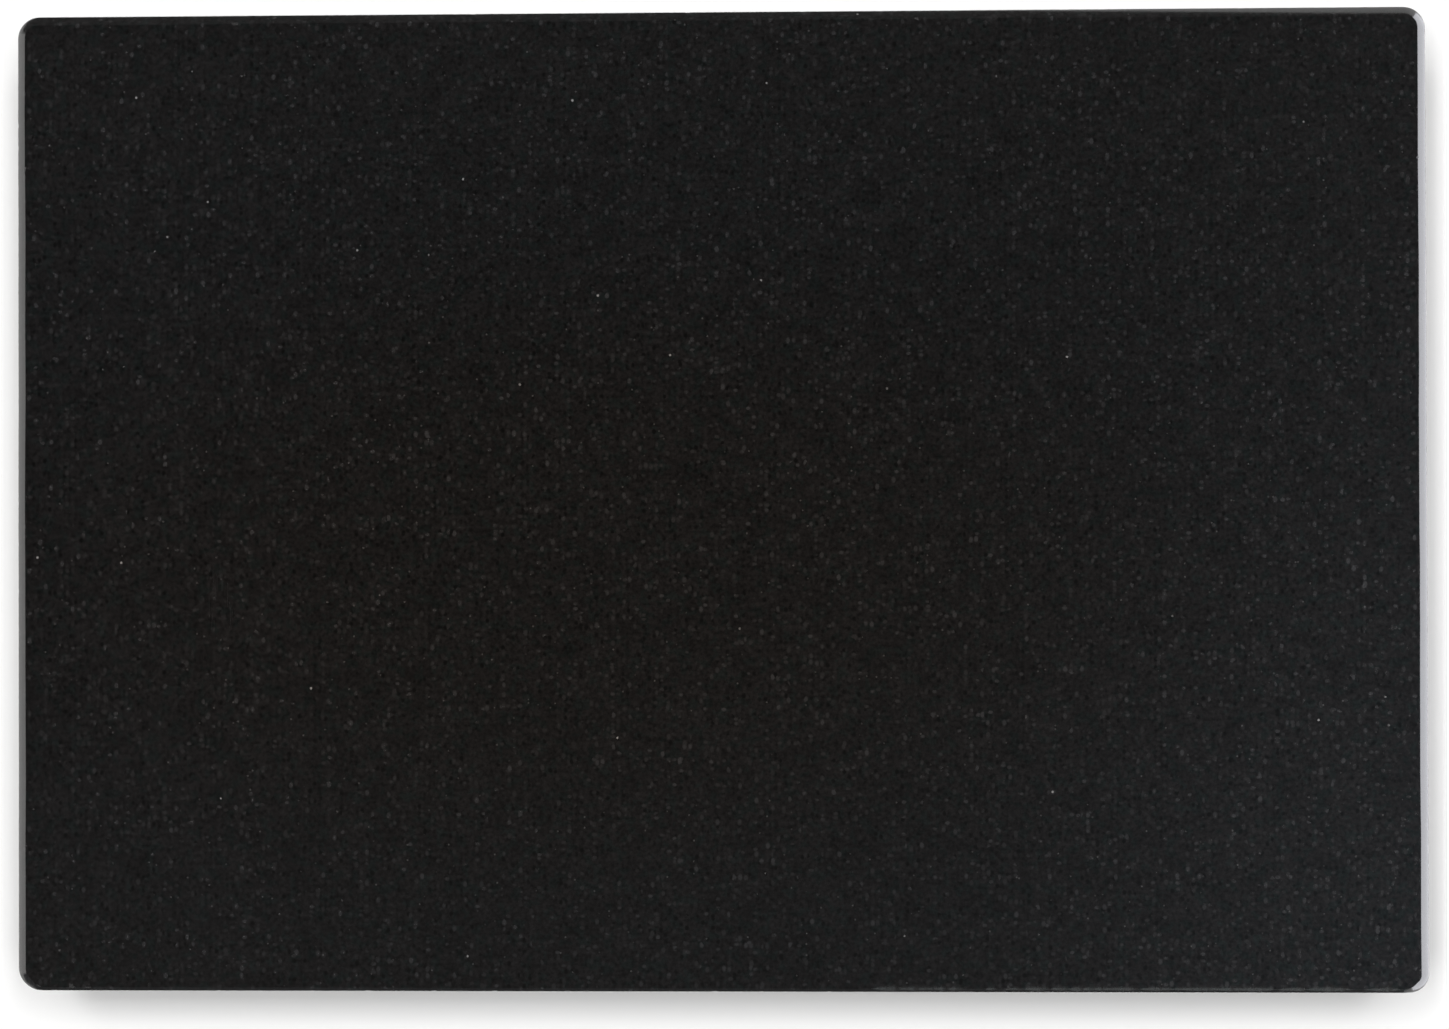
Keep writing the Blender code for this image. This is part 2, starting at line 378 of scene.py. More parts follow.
def build_stone_tree():
    """A rounded rectangle with a section swept round it, hand-ground and nicked."""
    tree, inputs, outputs = new_shape_tree(
        "ground_stone",
        {
            "Length": ("NodeSocketFloat", 0.36),
            "Width": ("NodeSocketFloat", 0.25),
            "Top": ("NodeSocketFloat", 0.03),
            "Corner Radius": ("NodeSocketFloat", 0.0055),
            "Front Right Radius": ("NodeSocketFloat", 0.0055),
            "Section": ("NodeSocketObject", None),
            "Step": ("NodeSocketFloat", 0.0005),
            "Bevel": ("NodeSocketFloat", 0.0025),
            "Bevel Drift": ("NodeSocketFloat", 0.05),
            "Front Bevel": ("NodeSocketFloat", 1.0),
            "Nicks": ("NodeSocketInt", 40),
            "Smallest Nick Ball": ("NodeSocketFloat", 0.0008),
            "Nick Ball": ("NodeSocketFloat", 0.004),
            "Nick Depth": ("NodeSocketFloat", 0.0002),
            "Scoops": ("NodeSocketInt", 30),
            "Smallest Scoop Ball": ("NodeSocketFloat", 0.006),
            "Scoop Ball": ("NodeSocketFloat", 0.03),
            "Scoop Depth": ("NodeSocketFloat", 0.00014),
            "Seed": ("NodeSocketInt", 1),
            "Material": ("NodeSocketMaterial", None),
        },
    )
    values = {"Width": inputs["Length"], "Height": inputs["Width"]}
    rectangle = put(tree, "GeometryNodeCurvePrimitiveQuadrilateral", values).outputs[0]
    position = put(tree, "GeometryNodeInputPosition").outputs[0]
    parts = put(tree, "ShaderNodeSeparateXYZ", {0: position}).outputs
    on_right = maths(tree, "GREATER_THAN", parts["X"], 0)
    on_front = maths(tree, "LESS_THAN", parts["Y"], 0)
    front_right = maths(tree, "MULTIPLY", on_right, on_front)
    difference = maths(tree, "SUBTRACT", inputs["Front Right Radius"], inputs["Corner Radius"])
    radius = maths(tree, "MULTIPLY_ADD", front_right, difference, inputs["Corner Radius"])
    outline = put(
        tree,
        "GeometryNodeFilletCurve",
        {"Curve": rectangle, "Count": 32, "Radius": radius},
        mode="POLY",
    ).outputs[0]
    outline = put(
        tree,
        "GeometryNodeResampleCurve",
        {"Curve": outline, "Length": inputs["Step"]},
        mode="LENGTH",
    ).outputs[0]
    offset = put(tree, "ShaderNodeCombineXYZ", {"Z": inputs["Top"]}).outputs[0]
    values = {"Geometry": outline, "Offset": offset}
    outline = put(tree, "GeometryNodeSetPosition", values).outputs[0]

    capture = put(tree, "GeometryNodeCaptureAttribute", {"Geometry": outline})
    capture.capture_items.new("VECTOR", "Edge")
    tree.links.new(position, capture.inputs["Edge"])
    edge = capture.outputs["Edge"]
    line = put(tree, "GeometryNodeObjectInfo", {"Object": inputs["Section"]}).outputs["Geometry"]
    values = {"Curve": capture.outputs["Geometry"], "Profile Curve": line}
    stone = put(tree, "GeometryNodeCurveToMesh", values).outputs[0]

    # The bevel's drift: scale about the sharp edge, fading out before the middle of the faces.
    from_edge = vector_maths(tree, "SUBTRACT", position, edge)
    distance = length(tree, from_edge)
    near = ramp(tree, distance, *DRIFT_FADE, 1.0, 0.0)
    values = {"Vector": edge, "Scale": 26.0, "Detail": 2.0}
    noise = put(tree, "ShaderNodeTexNoise", values).outputs[0]
    swing = ramp(tree, noise, 0.25, 0.75, -1.0, 1.0, smooth=False)
    share = bevel_share(tree, edge, inputs)
    swing = maths(tree, "MULTIPLY", swing, maths(tree, "MULTIPLY", share, inputs["Bevel Drift"]))
    swing = maths(tree, "ADD", swing, maths(tree, "SUBTRACT", share, 1.0))
    shift = scaled(tree, from_edge, maths(tree, "MULTIPLY", near, swing))
    stone = put(tree, "GeometryNodeSetPosition", {"Geometry": stone, "Offset": shift}).outputs[0]

    values = {"Geometry": stone, "Name": "nicked", "Value": 0.0}
    store = put(tree, "GeometryNodeStoreNamedAttribute", values, data_type="FLOAT")
    stone = store.outputs[0]
    seed = inputs["Seed"]
    balls = (inputs["Smallest Nick Ball"], inputs["Nick Ball"])
    nicks = (inputs["Nicks"], 1.0, 0.5, *balls, inputs["Nick Depth"])
    stone = add_nicks(tree, stone, outline, inputs, nicks, ALL_ROUND, seed)
    balls = (inputs["Smallest Scoop Ball"], inputs["Scoop Ball"])
    scoops = (inputs["Scoops"], 0.2, 0.0, *balls, inputs["Scoop Depth"])
    second_seed = maths(tree, "ADD", seed, 50)
    stone = add_nicks(tree, stone, outline, inputs, scoops, WORN_STRETCH, second_seed)
    stone = put(tree, "GeometryNodeRealizeInstances", {0: stone}).outputs[0]
    values = {"Geometry": stone, "Material": inputs["Material"]}
    stone = put(tree, "GeometryNodeSetMaterial", values).outputs[0]
    tree.links.new(stone, outputs["Geometry"])
    return tree


# %% [markdown]
# ## What black granite is made of
#
# The trade calls it granite, but it is a dark, fine-grained rock like gabbro: black pyroxene with
# iron ore, small grey laths of feldspar about a millimetre long, and now and then a bright fleck,
# painted as bright as the glint of light off it. Cells of a Voronoi texture stand for the
# crystals, because each cell carries a random colour of its own. Noise alone would give clouds,
# not crystals. All patterns are read in millimetres from the object's own coordinates, so they run
# through the block as they do in a real stone, and every face shows the same rock cut another way.
# Painted light lies on top of the rock's colour and grows lighter towards the front right corner.


# %% Minerals
def new_material(name):
    """A material with an empty tree and its output. Gives (material, tree, surface socket)."""
    material = bpy.data.materials.new(name)
    material.use_nodes = True
    material.node_tree.nodes.clear()
    output = material.node_tree.nodes.new("ShaderNodeOutputMaterial")
    return material, material.node_tree, output.inputs["Surface"]


def millimetres(tree):
    """The object's own coordinates, in millimetres."""
    place = put(tree, "ShaderNodeTexCoord").outputs["Object"]
    return scaled(tree, place, 1000.0)


def mixed(tree, factor, first, second, blend="MIX"):
    """Mix two colours."""
    inputs = {"Factor": factor, "A_Color": first, "B_Color": second}
    node = put(tree, "ShaderNodeMix", data_type="RGBA", blend_type=blend)
    for key, value in inputs.items():
        socket = next(s for s in node.inputs if key in (s.identifier, s.name) and s.enabled)
        if isinstance(value, bpy.types.NodeSocket):
            tree.links.new(value, socket)
        else:
            socket.default_value = value
    return next(s for s in node.outputs if s.enabled)


def shaded(tree, color, factor):
    """A colour times a factor that varies from place to place."""
    factors = put(tree, "ShaderNodeCombineColor", {0: factor, 1: factor, 2: factor}).outputs[0]
    return mixed(tree, 1.0, color, factors, blend="MULTIPLY")


def coat(tree, surface, color, roughness, relief, **more):
    """Give a material its shader. The relief is a height in millimetres."""
    bump = put(tree, "ShaderNodeBump", {"Height": relief, "Distance": 0.001, "Strength": 1.0})
    values = {"Base Color": color, "Roughness": roughness, "Normal": bump.outputs[0], **more}
    shader = put(tree, "ShaderNodeBsdfPrincipled", values)
    tree.links.new(shader.outputs[0], surface)


def noise(tree, place, scale, detail=2.0, roughness=0.5):
    """Noise from 0 to 1, with features about 1 / scale millimetres across."""
    values = {"Vector": place, "Scale": scale, "Detail": detail, "Roughness": roughness}
    return put(tree, "ShaderNodeTexNoise", values).outputs["Fac"]


def crystals(tree, place, size, stretch, share):
    """A share of the crystals of one mineral: how strong each is, and a random hue for it."""
    squeezed = vector_maths(tree, "MULTIPLY", place, stretch)
    cells = put(tree, "ShaderNodeTexVoronoi", {"Vector": squeezed, "Scale": 1.0 / size}).outputs
    channels = put(tree, "ShaderNodeSeparateColor", {0: cells["Color"]}).outputs
    strength = ramp(tree, channels["Red"], 1.0 - share, 1.0 - 0.2 * share, smooth=False)
    core = ramp(tree, cells["Distance"], 0.20, 0.55, 1.0, 0.0)
    return maths(tree, "MULTIPLY", strength, core), channels["Green"]


def grey(level, red=0.0, blue=0.0):
    """A dark colour, pushed a little towards or away from red and blue."""
    return (level * (1 + red), level, level * (1 + blue), 1.0)


PYROXENE = grey(0.0063, 0.06, 0.03)
GREEN_PYROXENE = grey(0.0066, -0.17, 0.0)
IRON_ORE = grey(0.0022)
FELDSPAR = grey(0.0125, 0.03, 0.03)
PALE_FELDSPAR = grey(0.0200, 0.01, 0.05)
# A pale fleck, painted as bright as a glint of light off it.
FLECK_AND_PAINTED_GLINT = grey(0.16, 0.02)
WARM_TINT = (1.09, 0.985, 0.88, 1.0)
FRESH_STONE = grey(0.045, 0.01)


def granite_minerals(tree, place):
    """The rock's colour, with painted glints and painted light, and how light each crystal is."""
    wander = put(tree, "ShaderNodeTexNoise", {"Vector": place, "Scale": 0.8, "Detail": 2.0})
    wander = vector_maths(tree, "SUBTRACT", wander.outputs["Color"], (0.5, 0.5, 0.5))
    bent = vector_maths(tree, "ADD", place, scaled(tree, wander, 0.2))

    patches = noise(tree, place, 0.30, 3.0, 0.6)
    color = mixed(tree, ramp(tree, patches, 0.50, 0.60), PYROXENE, GREEN_PYROXENE)
    mottle = ramp(tree, noise(tree, place, 0.85, 3.0, 0.6), 0.3, 0.7, 0.52, 1.48, smooth=False)
    drift = ramp(tree, noise(tree, place, 0.2, 2.0), 0.3, 0.7, 0.84, 1.16, smooth=False)
    shade = maths(tree, "MULTIPLY", mottle, drift)
    color = shaded(tree, color, shade)

    ore, _ = crystals(tree, bent, 1.27, (0.95, 0.8, 1.0), 0.36)
    color = mixed(tree, maths(tree, "MULTIPLY", ore, 0.85), color, IRON_ORE)
    laths, hue = crystals(tree, bent, 1.40, (1.0, 0.72, 0.85), 0.28)
    short_laths, _ = crystals(tree, bent, 1.18, (0.75, 1.0, 0.85), 0.24)
    clouds = ramp(tree, noise(tree, place, 0.10, 3.0, 0.6), 0.3, 0.7, 0.7, 1.3, smooth=False)
    lightness = maths(tree, "MAXIMUM", laths, short_laths)
    lightness = maths(tree, "MULTIPLY", lightness, clouds, clamp=True)
    feldspar = mixed(tree, ramp(tree, hue, 0.5, 0.9), FELDSPAR, PALE_FELDSPAR)
    color = mixed(tree, lightness, color, feldspar)

    # Painted glints: a few crystals, and rarely a whole one, take the fleck colour as a painted
    # highlight for the sparkle of light off them.
    glints, _ = crystals(tree, place, 0.62, (1.0, 1.0, 1.0), 0.010)
    glints = maths(tree, "MULTIPLY", glints, 0.18)
    rare, _ = crystals(tree, place, 0.8, (1.0, 1.0, 1.0), 0.0004)
    color = mixed(tree, maths(tree, "MAXIMUM", glints, rare), color, FLECK_AND_PAINTED_GLINT)

    # Painted light: the colour is up to 1.62 times lighter towards the front right corner, a
    # painted pool of the brighter light that falls there.
    from_painted_light = vector_maths(tree, "SUBTRACT", place, (240.0, -140.0, 0.0))
    from_painted_light = vector_maths(tree, "MULTIPLY", from_painted_light, (1.6, 1.0, 0.0))
    distance = length(tree, from_painted_light)
    painted_light = ramp(tree, distance, 60.0, 330.0, 1.62, 1.0)
    color = shaded(tree, color, painted_light)

    # A faint warm tint lies across the middle of the block and fades towards its ends.
    from_tint = vector_maths(tree, "ADD", place, (35.0, 18.0, 0.0))
    from_tint = vector_maths(tree, "MULTIPLY", from_tint, (0.0056, 0.0112, 0.006))
    distance = length(tree, from_tint)
    warm_tint = ramp(tree, distance, 0.35, 1.15, 1.0, 0.0)
    color = mixed(tree, warm_tint, color, mixed(tree, 1.0, color, WARM_TINT, blend="MULTIPLY"))
    return color, lightness


def finish_stone(name, lighten, finish):
    """A granite with a finish: a function of (tree, place, lightness) that gives its
    roughness and its relief in millimetres."""
    material, tree, surface = new_material(name)
    place = millimetres(tree)
    color, lightness = granite_minerals(tree, place)
    color = mixed(tree, 1.0, color, (lighten, lighten, lighten, 1.0), blend="MULTIPLY")
    roughness, relief = finish(tree, place, lightness)

    nicked = put(tree, "ShaderNodeAttribute", attribute_name="nicked").outputs["Fac"]
    crumbs = noise(tree, place, 3.0, 3.0, 0.7)
    fresh = maths(tree, "MULTIPLY", nicked, ramp(tree, crumbs, 0.35, 0.6))
    color = mixed(tree, fresh, color, FRESH_STONE)
    roughness = maths(tree, "MAXIMUM", roughness, maths(tree, "MULTIPLY", fresh, 0.6))
    crumbly = maths(tree, "MULTIPLY", maths(tree, "MULTIPLY", crumbs, fresh), 0.12)
    relief = maths(tree, "ADD", relief, crumbly)

    coat(tree, surface, color, roughness, relief, IOR=1.55)
    return material


# %% [markdown]
# ## Four finishes on one rock
#
# The working face is polished until it mirrors, though each mineral takes the polish a little
# differently, and the face has one old scuff. The bevel is rubbed by hand, with finer and finer
# pads. The sides are honed: a satin with the pad's lines still in it, running along the edge.
# Nobody sees the underside, so it keeps the grey, ridged surface that the saw left, with its
# long shallow arcs.


# %% Finishes
def hairlines(tree, place, stretch, scale, thinness):
    """Fine scratches: noise pulled out along one direction, from 0 to 1 at a scratch."""
    pulled = vector_maths(tree, "MULTIPLY", place, stretch)
    lines = noise(tree, pulled, scale, 1.0)
    return ramp(tree, lines, 1.0 - thinness, 1.0 - thinness + 0.06)


def polished(tree, place, lightness):
    """The working face: a mirror with faint differences between minerals, and one old scuff."""
    uneven = noise(tree, place, 0.08, 3.0)
    roughness = ramp(tree, uneven, 0.3, 0.7, 0.08, 0.12, smooth=False)
    roughness = maths(tree, "MULTIPLY_ADD", lightness, 0.10, roughness)
    scuff_place = put(
        tree,
        "ShaderNodeMapping",
        {"Vector": place, "Location": (127.0, 27.0, 0.0)},
        vector_type="POINT",
    ).outputs[0]
    scuff_size = vector_maths(tree, "MULTIPLY", scuff_place, (0.16, 0.055, 0.0))
    reach = length(tree, scuff_size)
    scuffed = ramp(tree, reach, 0.3, 1.0, 1.0, 0.0)
    lines = hairlines(tree, place, (2.2, 0.08, 1.0), 1.6, 0.40)
    roughness = maths(
        tree, "MULTIPLY_ADD", maths(tree, "MULTIPLY", scuffed, lines), 0.35, roughness
    )
    relief = maths(tree, "MULTIPLY", lightness, 0.0006)
    return roughness, relief


def hand_rubbed(tree, place, lightness):
    """The bevel: nearly polished, with the small waves of a hand-held pad."""
    uneven = noise(tree, place, 0.3, 3.0)
    roughness = ramp(tree, uneven, 0.3, 0.7, 0.13, 0.21, smooth=False)
    roughness = maths(tree, "MULTIPLY_ADD", lightness, 0.04, roughness)
    waves = maths(tree, "MULTIPLY", noise(tree, place, 0.12, 2.0), 0.02)
    relief = maths(tree, "MULTIPLY_ADD", lightness, 0.0006, waves)
    return roughness, relief


def honed(tree, place, lightness):
    """The sides: a satin with fine lines from the pad along the edge."""
    lines = hairlines(tree, place, (0.05, 0.05, 2.6), 1.4, 0.44)
    uneven = noise(tree, place, 0.2, 4.0)
    roughness = ramp(tree, uneven, 0.3, 0.7, 0.30, 0.42, smooth=False)
    roughness = maths(tree, "MULTIPLY_ADD", lines, 0.12, roughness)
    relief = maths(tree, "MULTIPLY", lines, -0.004)
    relief = maths(tree, "MULTIPLY_ADD", lightness, 0.004, relief)
    return roughness, relief


def sawn(tree, place, lightness):
    """The underside: ridges in long arcs, as wide apart as the saw's blade moved on."""
    from_arbor = put(
        tree,
        "ShaderNodeMapping",
        {"Vector": place, "Location": (210.0, 640.0, 0.0)},
        vector_type="POINT",
    ).outputs[0]
    values = {"Vector": from_arbor, "Scale": 0.11, "Distortion": 1.6, "Detail": 3.0}
    values["Detail Scale"] = 0.6
    rings = put(
        tree,
        "ShaderNodeTexWave",
        values,
        wave_type="RINGS",
        rings_direction="Z",
    ).outputs["Fac"]
    grit = noise(tree, place, 2.2, 4.0, 0.65)
    relief = maths(tree, "MULTIPLY", rings, 0.06)
    relief = maths(tree, "MULTIPLY_ADD", grit, 0.10, relief)
    roughness = ramp(tree, grit, 0.3, 0.7, 0.66, 0.86, smooth=False)
    return roughness, relief


finishes = [
    finish_stone("granite_polished", 1.0, polished),
    finish_stone("granite_hand_rubbed", 1.1, hand_rubbed),
    finish_stone("granite_honed", 2.2, honed),
    finish_stone("granite_sawn", 7.0, sawn),
]
POLISHED, HAND_RUBBED, HONED, SAWN = range(4)
print("finishes:", [finish.name for finish in finishes])

# %% [markdown]
# ## Make the stone
#
# The sweep is open at both ends: it stops a few millimetres inside the top and the underside.
# A flat sheet closes each opening. It is cut into tiles, because one face with thousands of
# corners is shaded badly. Then every face takes the finish of the surface that it lies on, told
# by which way it points and how high it is.


# %% The stone
TILE = 0.02
WELD = 0.000002
TOP_TOLERANCE = 0.0001
NEARLY_LEVEL = 0.9
LEANING_UP = 0.3
STONE_CREASE = math.radians(32)


def cut_face(solid, faces, axis, low, high):
    """Cut flat faces by evenly spaced planes across one axis."""
    count = round((high - low) / TILE)
    for number in range(1, count):
        place = Vector((0, 0, 0))
        place[axis] = low + (high - low) * number / count
        direction = Vector((0, 0, 0))
        direction[axis] = 1
        edges = {edge for face in faces for edge in face.edges}
        cut = bmesh.ops.bisect_plane(
            solid, geom=list(faces) + list(edges), plane_co=place, plane_no=direction
        )
        faces = [part for part in cut["geom"] if isinstance(part, bmesh.types.BMFace)]
    return faces


def close_openings(mesh, low, high):
    """Close each open rim of a mesh with a flat sheet of tiles. All faces point outwards."""
    solid = bmesh.new()
    solid.from_mesh(mesh)
    bmesh.ops.remove_doubles(solid, verts=solid.verts, dist=WELD)
    rims = [edge for edge in solid.edges if edge.is_boundary]
    for sheet in bmesh.ops.holes_fill(solid, edges=rims, sides=0)["faces"]:
        strips = cut_face(solid, [sheet], 0, low.x, high.x)
        cut_face(solid, strips, 1, low.y, high.y)
    bmesh.ops.recalc_face_normals(solid, faces=solid.faces)
    solid.to_mesh(mesh)
    solid.free()


def finish_of(face, low, high):
    """Which finish a face of the stone has."""
    if face.center.z > high.z - TOP_TOLERANCE and face.normal.z > NEARLY_LEVEL:
        return POLISHED
    if face.normal.z > LEANING_UP:
        return HAND_RUBBED
    if face.center.z > low.z + UNDER_BEVEL * 1.1:
        return HONED
    return SAWN


stone_mesh = grown_mesh(
    build_stone_tree(),
    "polished_stone",
    {
        "Length": stone_size.x,
        "Width": stone_size.y,
        "Top": stone_high.z,
        "Corner Radius": 0.0056,
        "Front Right Radius": 0.0046,
        "Section": section_object,
        "Step": 0.0005,
        "Bevel": TOP_BEVEL,
        "Bevel Drift": 0.05,
        "Front Bevel": FRONT_BEVEL,
        "Nicks": 34,
        "Smallest Nick Ball": 0.0008,
        "Nick Ball": 0.004,
        "Nick Depth": 0.00013,
        "Scoops": 70,
        "Smallest Scoop Ball": 0.010,
        "Scoop Ball": 0.05,
        "Scoop Depth": 0.00013,
        "Seed": 4,
        "Material": finishes[HAND_RUBBED],
    },
)
bpy.data.objects.remove(section_object, do_unlink=True)
close_openings(stone_mesh, stone_low, stone_high)
stone_mesh.materials.clear()
for finish in finishes:
    stone_mesh.materials.append(finish)
for face in stone_mesh.polygons:
    face.material_index = finish_of(face, stone_low, stone_high)
stone_mesh.shade_smooth()
stone_mesh.set_sharp_from_angle(angle=STONE_CREASE)
show(stone_mesh, "polished_stone", "granite_slab")

# %% [markdown]
# ## Rubber feet
#
# A stick-on foot is moulded rubber, widest at the stone, with a shallow dish in the face that
# meets the bench so that it grips like a cup. A mould leaves marks: a thin line where its
# halves met, a dull grain, and a pip in the dish where the rubber came in. A turned shape is a
# section swept round a circle, so one small tree makes the foot and the tape alike. The grip
# ribs on the ring under the foot are one rib, repeated round it.

# %% Rubber and tape
CARRIER_RADIUS = 0.00001
POLE_WELD = 0.000001
RUBBER_CREASE = math.radians(40)
TURNS = 96
TAPE_CLEARANCE = 0.00002


def rubber():
    """Moulded black rubber: a fine grain, and dust in it."""
    material, tree, surface = new_material("foot_rubber")
    place = millimetres(tree)
    grain = noise(tree, place, 5.0, 3.0, 0.6)
    dust = ramp(tree, noise(tree, place, 0.5, 5.0, 0.65), 0.50, 0.72)
    dusty = maths(tree, "MULTIPLY", dust, 0.35)
    color = mixed(tree, dusty, (0.016, 0.016, 0.017, 1), (0.09, 0.088, 0.084, 1))
    roughness = ramp(tree, grain, 0.3, 0.7, 0.55, 0.78, smooth=False)
    relief = maths(tree, "MULTIPLY", grain, 0.03)
    coat(tree, surface, color, roughness, relief)
    return material


def foam_tape():
    """Grey foam, cut through: its cells show on the rim."""
    material, tree, surface = new_material("foam_tape")
    place = millimetres(tree)
    cells = put(tree, "ShaderNodeTexVoronoi", {"Vector": place, "Scale": 6.0}).outputs["Distance"]
    depth = ramp(tree, cells, 0.1, 0.6)
    color = mixed(tree, depth, (0.20, 0.20, 0.19, 1), (0.34, 0.34, 0.33, 1))
    relief = maths(tree, "MULTIPLY", depth, -0.05)
    roughness = ramp(tree, cells, 0.0, 0.7, 0.7, 0.9, smooth=False)
    coat(tree, surface, color, roughness, relief)
    return material


def build_turned_tree():
    """A section swept round a circle, with a rib repeated round it underneath."""
    tree, inputs, outputs = new_shape_tree(
        "turned_rubber",
        {
            "Section": ("NodeSocketObject", None),
            "Centre": ("NodeSocketVector", None),
            "Turns": ("NodeSocketInt", TURNS),
            "Ribs": ("NodeSocketInt", 0),
            "Rib Length": ("NodeSocketFloat", 0.0018),
            "Rib Width": ("NodeSocketFloat", 0.0005),
            "Rib Circle": ("NodeSocketFloat", 0.007),
            "Material": ("NodeSocketMaterial", None),
        },
    )
    # A tiny circle carries the section: the section's own points hold the real radii.
    values = {"Resolution": inputs["Turns"], "Radius": CARRIER_RADIUS}
    circle = put(tree, "GeometryNodeCurvePrimitiveCircle", values).outputs[0]
    line = put(tree, "GeometryNodeObjectInfo", {"Object": inputs["Section"]}).outputs["Geometry"]
    values = {"Curve": circle, "Profile Curve": line}
    body = put(tree, "GeometryNodeCurveToMesh", values).outputs[0]

    values = {"Count": inputs["Ribs"]}
    ring = put(tree, "GeometryNodePoints", values).outputs[0]
    index = put(tree, "GeometryNodeInputIndex").outputs[0]
    turn = maths(tree, "DIVIDE", maths(tree, "MULTIPLY", index, math.tau), inputs["Ribs"])
    spin = put(tree, "ShaderNodeCombineXYZ", {"Z": turn}).outputs[0]
    x = maths(tree, "MULTIPLY", maths(tree, "COSINE", turn), inputs["Rib Circle"])
    y = maths(tree, "MULTIPLY", maths(tree, "SINE", turn), inputs["Rib Circle"])
    rib_radius = maths(tree, "MULTIPLY", inputs["Rib Width"], 0.5)
    place = put(tree, "ShaderNodeCombineXYZ", {"X": x, "Y": y, "Z": rib_radius})
    values = {"Geometry": ring, "Position": place.outputs[0]}
    ring = put(tree, "GeometryNodeSetPosition", values).outputs[0]
    values = {"Vertices": 8, "Radius": rib_radius, "Depth": inputs["Rib Length"]}
    rib = put(tree, "GeometryNodeMeshCylinder", values).outputs["Mesh"]
    values = {"Geometry": rib, "Rotation": (0, math.radians(90), 0)}
    rib = put(tree, "GeometryNodeTransform", values).outputs[0]
    values = {"Points": ring, "Instance": rib, "Rotation": spin}
    ribs = put(tree, "GeometryNodeInstanceOnPoints", values).outputs[0]

    join = put(tree, "GeometryNodeJoinGeometry")
    tree.links.new(ribs, join.inputs[0])
    tree.links.new(body, join.inputs[0])
    values = {"Geometry": join.outputs[0], "Translation": inputs["Centre"]}
    moved = put(tree, "GeometryNodeTransform", values).outputs[0]
    solid = put(tree, "GeometryNodeRealizeInstances", {0: moved}).outputs[0]
    values = {"Geometry": solid, "Material": inputs["Material"]}
    solid = put(tree, "GeometryNodeSetMaterial", values).outputs[0]
    tree.links.new(solid, outputs["Geometry"])
    return tree


# %% Feet and tape
def turned_line(name, section):
    """The line of a turned shape, from points of (radius, height)."""
    return line_object(name, [(radius - CARRIER_RADIUS, -height) for radius, height in section])


def eased_section(corners, radii, steps=4):
    """A section with its corners rounded. A radius of 0 keeps a corner sharp."""
    points = []
    for index, (corner, radius) in enumerate(zip(corners, radii)):
        if radius:
            before, after = corners[index - 1], corners[index + 1]
            points += rounded_corner(before, corner, after, radius, steps)
        else:
            points.append(corner)
    return points


def foot_section(radius, height):
    """A foot from the middle of its top, down its side, to the pip in its dish."""
    ring = 0.0003
    line = 0.00012
    waist = height * 0.62
    rim = radius - 0.0001
    dish = ring + 0.0006
    pip = ring + 0.0002
    corners = [
        (0, height),
        (radius, height),
        (rim, waist + line),
        (rim + line, waist),
        (radius - 0.0002, waist - line),
        (radius - 0.001, ring),
        (radius - 0.0042, ring),
        (radius - 0.0046, dish),
        (0.0012, dish),
        (0.0010, pip),
        (0, pip),
    ]
    radii = [0, 0.0004, 0.00005, 0.00005, 0.00005, 0.0006, 0.0002, 0.0002, 0.0001, 0.0001, 0]
    return eased_section([Vector(corner) for corner in corners], radii)


def tape_section(radius, low, high):
    """A disc of tape, squeezed a little so that its rim bulges."""
    corners = [(0, high), (radius - 0.0001, high), (radius + 0.0001, (low + high) / 2)]
    corners += [(radius - 0.0001, low), (0, low)]
    radii = [0, 0.0001, 0.0003, 0.0001, 0]
    return eased_section([Vector(corner) for corner in corners], radii)


def close_poles(mesh):
    """Merge the points that meet on the axis of a turned shape."""
    solid = bmesh.new()
    solid.from_mesh(mesh)
    bmesh.ops.remove_doubles(solid, verts=solid.verts, dist=POLE_WELD)
    bmesh.ops.recalc_face_normals(solid, faces=solid.faces)
    solid.to_mesh(mesh)
    solid.free()
    mesh.shade_smooth()
    mesh.set_sharp_from_angle(angle=RUBBER_CREASE)


turned_tree = build_turned_tree()
foot_rubber = rubber()
tape_foam = foam_tape()

for corner in ("front_left", "front_right", "rear_left", "rear_right"):
    foot_low, foot_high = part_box("foot_" + corner)
    centre = (foot_low + foot_high) / 2
    foot_radius = (foot_high.x - foot_low.x) / 2
    foot_line = turned_line("foot_line", foot_section(foot_radius, foot_high.z))
    mesh = grown_mesh(
        turned_tree,
        "rubber_foot_" + corner,
        {
            "Section": foot_line,
            "Centre": (centre.x, centre.y, 0.0),
            "Turns": TURNS,
            "Ribs": 36,
            "Rib Length": 0.0018,
            "Rib Width": 0.0006,
            "Rib Circle": foot_radius - 0.0026,
            "Material": foot_rubber,
        },
    )
    close_poles(mesh)
    show(mesh, "rubber_foot_" + corner, "foot_" + corner)
    bpy.data.objects.remove(foot_line, do_unlink=True)

    tape_low, tape_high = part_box("adhesive_" + corner)
    tape_radius = (tape_high.x - tape_low.x) / 2
    bottom = foot_high.z + TAPE_CLEARANCE
    top = stone_low.z - TAPE_CLEARANCE
    tape_line = turned_line("tape_line", tape_section(tape_radius, bottom, top))
    mesh = grown_mesh(
        turned_tree,
        "tape_disc_" + corner,
        {
            "Section": tape_line,
            "Centre": (centre.x, centre.y, 0.0),
            "Turns": TURNS,
            "Ribs": 0,
            "Material": tape_foam,
        },
    )
    close_poles(mesh)
    show(mesh, "tape_disc_" + corner, "adhesive_" + corner)
    bpy.data.objects.remove(tape_line, do_unlink=True)

# %% [markdown]
# ## The studio
#
# A plain pale floor, and five soft lights hung high in a half ring, all looking straight down.
# Each leans past one or two edges of the stone and draws a shadow beyond the opposite ones: the
# lights behind draw the shadow in front, and the left and right ones draw the narrow shadows
# beside it. Their shares set how deep each shadow is, and their sizes how soft. The lights are
# kept out of reflections, because a polished stone would show every lamp.


